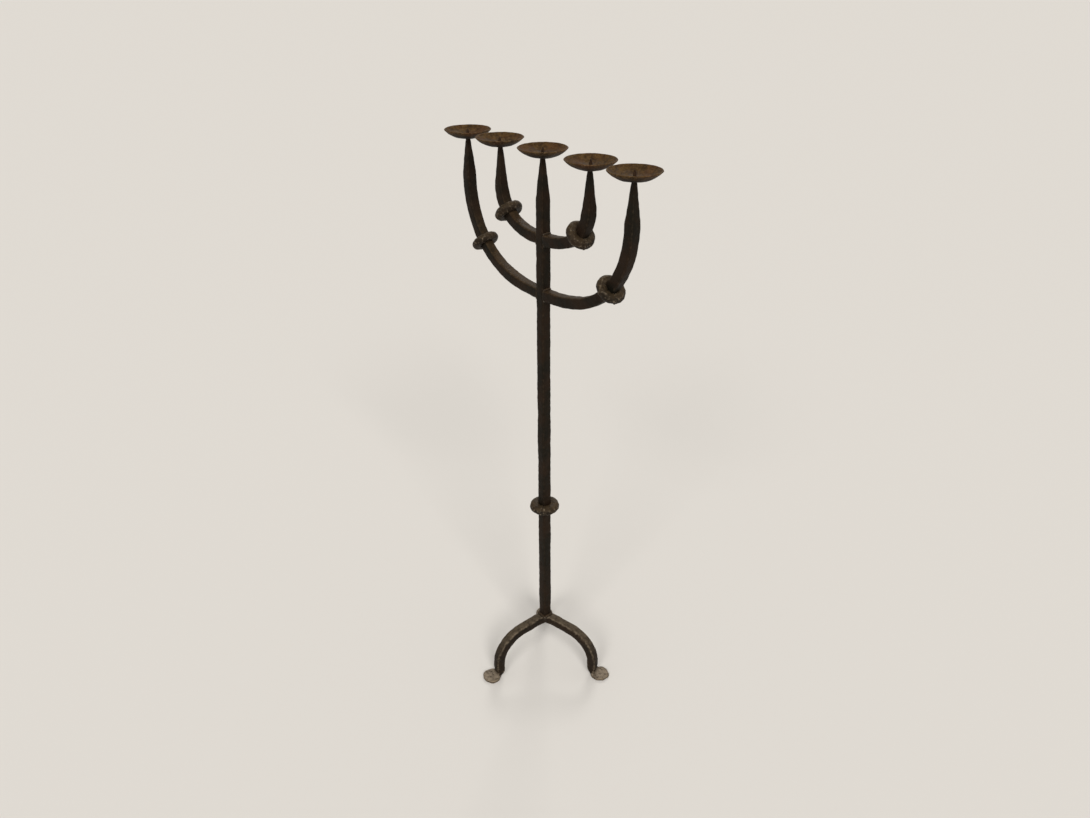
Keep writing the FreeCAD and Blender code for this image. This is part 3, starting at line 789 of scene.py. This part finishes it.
class Nodes:
    """The nodes of one finish or of the room's light."""

    def __init__(self, owner):
        self.owner = owner
        owner.use_nodes = True
        owner.node_tree.nodes.clear()

    def add(self, kind, settings, sockets, output=0):
        """Add a node: its settings first, then what its sockets hold or are linked to."""
        node = self.owner.node_tree.nodes.new(kind)
        for setting, value in settings.items():
            setattr(node, setting, value)
        for name, value in sockets.items():
            if isinstance(value, Value):
                self.owner.node_tree.links.new(value.socket, node.inputs[name])
            else:
                node.inputs[name].default_value = value
        return Value(self, node.outputs[output] if node.outputs else None)

    def noise(self, scale, detail, roughness=0.55):
        """Give a cloudy pattern."""
        return self.add(
            "ShaderNodeTexNoise",
            {},
            {"Vector": self.place(), "Scale": scale, "Detail": detail, "Roughness": roughness},
            "Fac",
        )

    def place(self):
        """Give a point's place on the piece."""
        return self.add("ShaderNodeTexCoord", {}, {}, "Object")

    def between(self, value, low, high):
        """Rise from 0 to 1 as a value goes from low to high."""
        return self.add(
            "ShaderNodeMapRange",
            {"interpolation_type": "SMOOTHSTEP"},
            {"Value": value, "From Min": low, "From Max": high},
        )

    def blend(self, share, first, second):
        """Mix two colours."""
        return self.add(
            "ShaderNodeMix", {"data_type": "RGBA"}, {0: share, 6: first, 7: second}, 2
        )

    def surface(self, **sockets):
        """Finish a material with its shader."""
        shader = self.add("ShaderNodeBsdfPrincipled", {}, sockets)
        self.add("ShaderNodeOutputMaterial", {}, {"Surface": shader})
        return self.owner


def deeper(colour, share):
    """A colour with its light turned down or up, as numbers."""
    return tuple(part * share for part in colour[:3]) + (1,)


# The relief of the scale on old iron, and its colours
SCALE_RELIEF = 0.9 * MM
WARM_SHINE = (1, 0.8, 0.6, 1)
SOOT = (0.0062, 0.0047, 0.0034, 1)
GREEN_BLACK = (0.0056, 0.0051, 0.0036, 1)
BROWN = (0.0135, 0.0077, 0.0045, 1)
RING_BROWN = (0.02, 0.0125, 0.007, 1)
BURNT_BROWN = (0.026, 0.011, 0.0048, 1)
BRONZE = (0.026, 0.013, 0.0045, 1)
GOLD_BROWN = (0.088, 0.049, 0.0155, 1)
RED_BROWN = (0.075, 0.029, 0.0105, 1)
RUBBED = (0.13, 0.095, 0.062, 1)
RUBBED_LEG = (0.17, 0.135, 0.095, 1)
RUBBED_RING = (0.27, 0.215, 0.15, 1)
RUBBED_WELD = (0.21, 0.185, 0.15, 1)
RUBBED_PAN = (0.15, 0.1, 0.055, 1)
# These colours go on what faces up: a settled dusty film mixed with painted top light, and on the
# bars a painted bronze sheen.
DUST_AND_TOP_LIGHT = (0.056, 0.0345, 0.0165, 1)
RING_DUST_AND_TOP_LIGHT = (0.056, 0.0375, 0.019, 1)
LEG_DUST_AND_TOP_LIGHT = (0.092, 0.07, 0.046, 1)
PAN_DUST_AND_TOP_LIGHT = (0.105, 0.06, 0.024, 1)
WORN_SOLE = (0.29, 0.235, 0.175, 1)


class Iron(Nodes):
    """The nodes of one forged finish, with the patterns that its colours share."""

    def __init__(self, name):
        super().__init__(bpy.data.materials.new(name))
        self.cloud = self.noise(24.0, 3.0)
        self.mottle = self.noise(140.0, 8.0, 0.62)
        self.grain = self.noise(850.0, 3.0, 0.65)
        self.flecks = self.noise(420.0, 2.0, 0.5)
        self.pits = self.add(
            "ShaderNodeTexVoronoi", {}, {"Vector": self.place(), "Scale": 380.0}, "Distance"
        )
        self.ridge = self.add("ShaderNodeNewGeometry", {}, {}, "Pointiness")
        normal = self.add("ShaderNodeNewGeometry", {}, {}, "Normal")
        self.upward = self.add("ShaderNodeSeparateXYZ", {}, {"Vector": normal}, "Z")

    def stain_pan(self, colour, dark, reach, brown, gold, rust):
        """Rust a pan's inside and lip in three colours, speckled and burnt round the middle."""
        golden = self.between(self.mottle + self.grain * 0.3, 0.5, 0.82)
        rusty = self.blend(golden, brown, gold)
        rusty = self.blend(self.between(self.cloud, 0.44, 0.62) * 0.55, rusty, rust)
        rusty = self.blend(self.between(self.flecks, 0.46, 0.34) * 0.5, rusty, dark)
        burnt = 0.85 - self.between(reach + self.mottle * 0.4, 0.25, 1.0) * 0.85
        rusty = self.blend(burnt, rusty, dark)
        lip = self.between(reach, 0.72, 1.0) * 0.75
        return self.blend(self.between(self.upward, 0.1, 0.6) | lip, colour, rusty)

    def scuff_sole(self, colour, sole):
        """Scuff what lies low on the floor and faces up."""
        height = self.add("ShaderNodeSeparateXYZ", {}, {"Vector": self.place()}, "Z")
        low = self.between(height + self.mottle * 0.01, 0.02, 0.008)
        low = low * self.between(self.upward, 0.1, 0.6)
        scuffed = low * self.between(self.mottle + self.grain * 0.4, 0.52, 0.82)
        return self.blend(scuffed, colour, sole)

    def bump(self):
        """Roughen the surface with scale and pits."""
        pitted = self.between(self.pits, 0.28, 0.0) * 0.35
        height = self.grain * 0.3 + self.mottle * 0.7 - pitted
        return self.add(
            "ShaderNodeBump",
            {},
            {"Strength": 0.75, "Distance": SCALE_RELIEF, "Height": height},
            "Normal",
        )


def forged_iron(
    name, dark, warm, worn, dust_and_top_light_colour, wear, dust_and_top_light_share, shine=0.11, edge=0.51, pan=(), sole=None
):
    """Old forged iron: brown-black scale, warm patches, rubbed ridges, and what faces up made
    dusty and lighter by painted top light.

    Wear and the share after it are shares of full wear and of the full dusty film with painted
    top light on what faces up, and ridges sharper than edge are rubbed bright. A pan's three
    colours cover its inside, and a sole's colour what stands on the floor.
    """
    iron = Iron(name)
    between, mottle, flecks = iron.between, iron.mottle, iron.flecks
    colour = iron.blend(between(iron.cloud, 0.36, 0.64), dark, warm)
    colour = iron.blend(between(mottle, 0.5, 0.75) * 0.6, colour, deeper(warm, 1.6))
    if pan:
        reach = iron.add("ShaderNodeAttribute", {"attribute_name": "from_middle"}, {}, "Fac")
        colour = iron.stain_pan(colour, dark, reach, *pan)
    # What faces up gets a dusty film mixed with painted top light and sheen.
    dust_and_top_light = between(iron.upward, 0.2, 0.9) * between(mottle, 0.15, 0.75)
    colour = iron.blend(dust_and_top_light * dust_and_top_light_share, colour, dust_and_top_light_colour)
    if sole:
        colour = iron.scuff_sole(colour, sole)
    rubbed = between(iron.ridge, edge, edge + 0.03) * between(mottle, 0.32, 0.6) * wear
    bright = rubbed | between(flecks, 0.66, 0.74) * (0.3 * wear)
    if pan:
        bright = bright | between(reach, 0.82, 0.96) * between(flecks, 0.58, 0.66) * 0.6
    colour = iron.blend(bright, colour, worn)
    # Painted shade darkens the concave creases, and the pits in the scale are dark.
    shaded_creases_and_pits = between(iron.ridge, 0.495, 0.45) | between(iron.pits, 0.22, 0.05)
    colour = iron.blend(shaded_creases_and_pits * 0.6, colour, deeper(dark, 0.45))
    return iron.surface(
        **{
            "Base Color": colour,
            "Roughness": 0.36 + mottle * 0.3 + iron.grain * 0.14 - bright * 0.12,
            "Metallic": bright * 0.5,
            "Normal": iron.bump(),
            "Specular IOR Level": shine,
            "Specular Tint": WARM_SHINE,
        }
    )


finishes = {
    "bar_iron": forged_iron(
        "black_forged_bar", GREEN_BLACK, BROWN, RUBBED, DUST_AND_TOP_LIGHT, wear=0.35, dust_and_top_light_share=0.85
    ),
    "leg_iron": forged_iron(
        "scuffed_forged_leg", SOOT, BROWN, RUBBED_LEG, LEG_DUST_AND_TOP_LIGHT,
        wear=0.85, dust_and_top_light_share=0.95, shine=0.16, edge=0.505, sole=WORN_SOLE,
    ),
    "collar_iron": forged_iron(
        "rubbed_forged_collar", SOOT, RING_BROWN, RUBBED_RING, RING_DUST_AND_TOP_LIGHT,
        wear=0.95, dust_and_top_light_share=0.8, shine=0.18, edge=0.516,
    ),
    "weld_iron": forged_iron(
        "weld_scale", SOOT, BROWN, RUBBED_WELD, DUST_AND_TOP_LIGHT,
        wear=0.85, dust_and_top_light_share=0.8, shine=0.22, edge=0.525,
    ),
    "pan_iron": forged_iron(
        "browned_pan", SOOT, BROWN, RUBBED_PAN, PAN_DUST_AND_TOP_LIGHT,
        wear=0.3, dust_and_top_light_share=0.25, shine=0.08, pan=(BRONZE, GOLD_BROWN, RED_BROWN),
    ),
    "spike_iron": forged_iron(
        "burnt_spike", SOOT, BURNT_BROWN, RUBBED, DUST_AND_TOP_LIGHT, wear=0.3, dust_and_top_light_share=0.2
    ),
}


def slot_of(node):
    """Name the material slot a node takes its finish from."""
    for word in ("weld", "leg", "pan", "spike", "collar"):
        if word in node:
            return f"{word}_iron"
    return "bar_iron"


for node, piece in made.items():
    slot = slot_of(node)
    piece.data.materials.clear()
    piece.data.materials.append(finishes[slot])
    hold(piece)
    bpy.ops.object.shade_smooth()
    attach(piece, "root")
    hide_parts(node)

# Floor, light and camera
scene = bpy.context.scene
scene.view_settings.view_transform = "Standard"
floor = start(
    "floor",
    bpy.ops.mesh.primitive_circle_add,
    vertices=96,
    radius=FLOOR_RADIUS,
    fill_type="NGON",
)
clear_bench()
paper = Nodes(bpy.data.materials.new("pale_floor"))
matt = paper.surface(**{"Base Color": PALE, "Roughness": 1, "Specular IOR Level": 0})
floor.data.materials.append(matt)

scene.world = bpy.data.worlds.new("studio")
room = Nodes(scene.world)
softbox = room.add(
    "ShaderNodeBackground", {}, {"Color": SOFTBOX_WHITE, "Strength": SOFTBOX_STRENGTH}
)
backdrop = room.add("ShaderNodeBackground", {}, {"Color": BACKDROP})
ray = {
    kind: room.add("ShaderNodeLightPath", {}, {}, kind)
    for kind in ("Is Camera Ray", "Is Glossy Ray", "Is Transmission Ray")
}
seen = ray["Is Camera Ray"] | ray["Is Glossy Ray"] | ray["Is Transmission Ray"]
around = room.add("ShaderNodeMixShader", {}, {0: seen, 1: softbox, 2: backdrop})
room.add("ShaderNodeOutputWorld", {}, {"Surface": around})

for side, azimuth, strength in LAMPS:
    lamp = bpy.data.lights.new(f"soft_lamp_{side}", "SUN")
    lamp.energy = strength
    lamp.angle = math.radians(LAMP_WIDTH)
    lamp.color = LAMP_WHITE
    stand = bpy.data.objects.new(f"soft_lamp_{side}", lamp)
    stand.rotation_euler = (0, math.radians(90 - LAMP_RISE), math.radians(VIEW_AZIMUTH + azimuth))
    scene.collection.objects.link(stand)

camera_data = bpy.data.cameras.new("camera")
camera_data.sensor_width = 36
camera_data.lens = LENS
camera_data.clip_end = 100
camera = bpy.data.objects.new("camera", camera_data)
scene.collection.objects.link(camera)
camera.matrix_world = (
    Matrix.Translation(CAMERA_PLACE)
    @ Matrix.Rotation(math.radians(90 + VIEW_AZIMUTH), 4, "Z")
    @ Matrix.Rotation(math.radians(90 - VIEW_FALL), 4, "X")
    @ Matrix.Rotation(math.radians(VIEW_ROLL), 4, "Z")
)
scene.camera = camera
